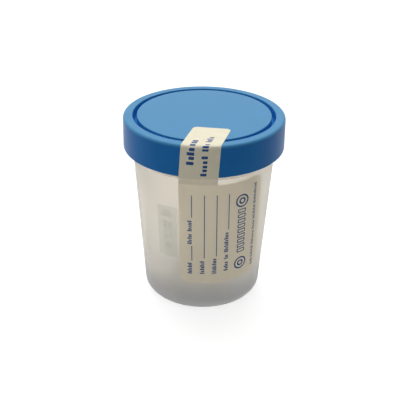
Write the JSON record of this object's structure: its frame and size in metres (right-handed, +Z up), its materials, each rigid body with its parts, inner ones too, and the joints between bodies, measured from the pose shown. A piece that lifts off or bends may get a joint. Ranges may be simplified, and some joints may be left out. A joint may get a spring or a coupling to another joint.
{
  "type": "specimen container",
  "caption": "Tapered frosted plastic cup for a laboratory specimen, with a blue screw lid and a paper label whose strip seals the lid.",
  "frame": {"origin": "centre of the foot, on the surface that the container stands on", "axes": "+Z up along the axis of the cup and lid, -Y towards the seal strip, +X towards the label's free end"},
  "size_m": [0.064, 0.0642, 0.0771],
  "materials": {
    "cup_plastic": "translucent natural polypropylene with a fine moulded frost",
    "lid_plastic": "satin blue polyethylene",
    "label_paper": "uncoated cream paper with dark blue print"
  },
  "bodies": {
    "cup": {"cup": "cup_plastic", "label": "label_paper"},
    "lid": {"lid": "lid_plastic", "seal_tab": "label_paper"}
  },
  "joints": [
    {"name": "lid_lift", "type": "slide", "parent": "cup", "child": "lid", "axis": [0, 0, 1], "range_m": [0, 0.072]}
  ]
}
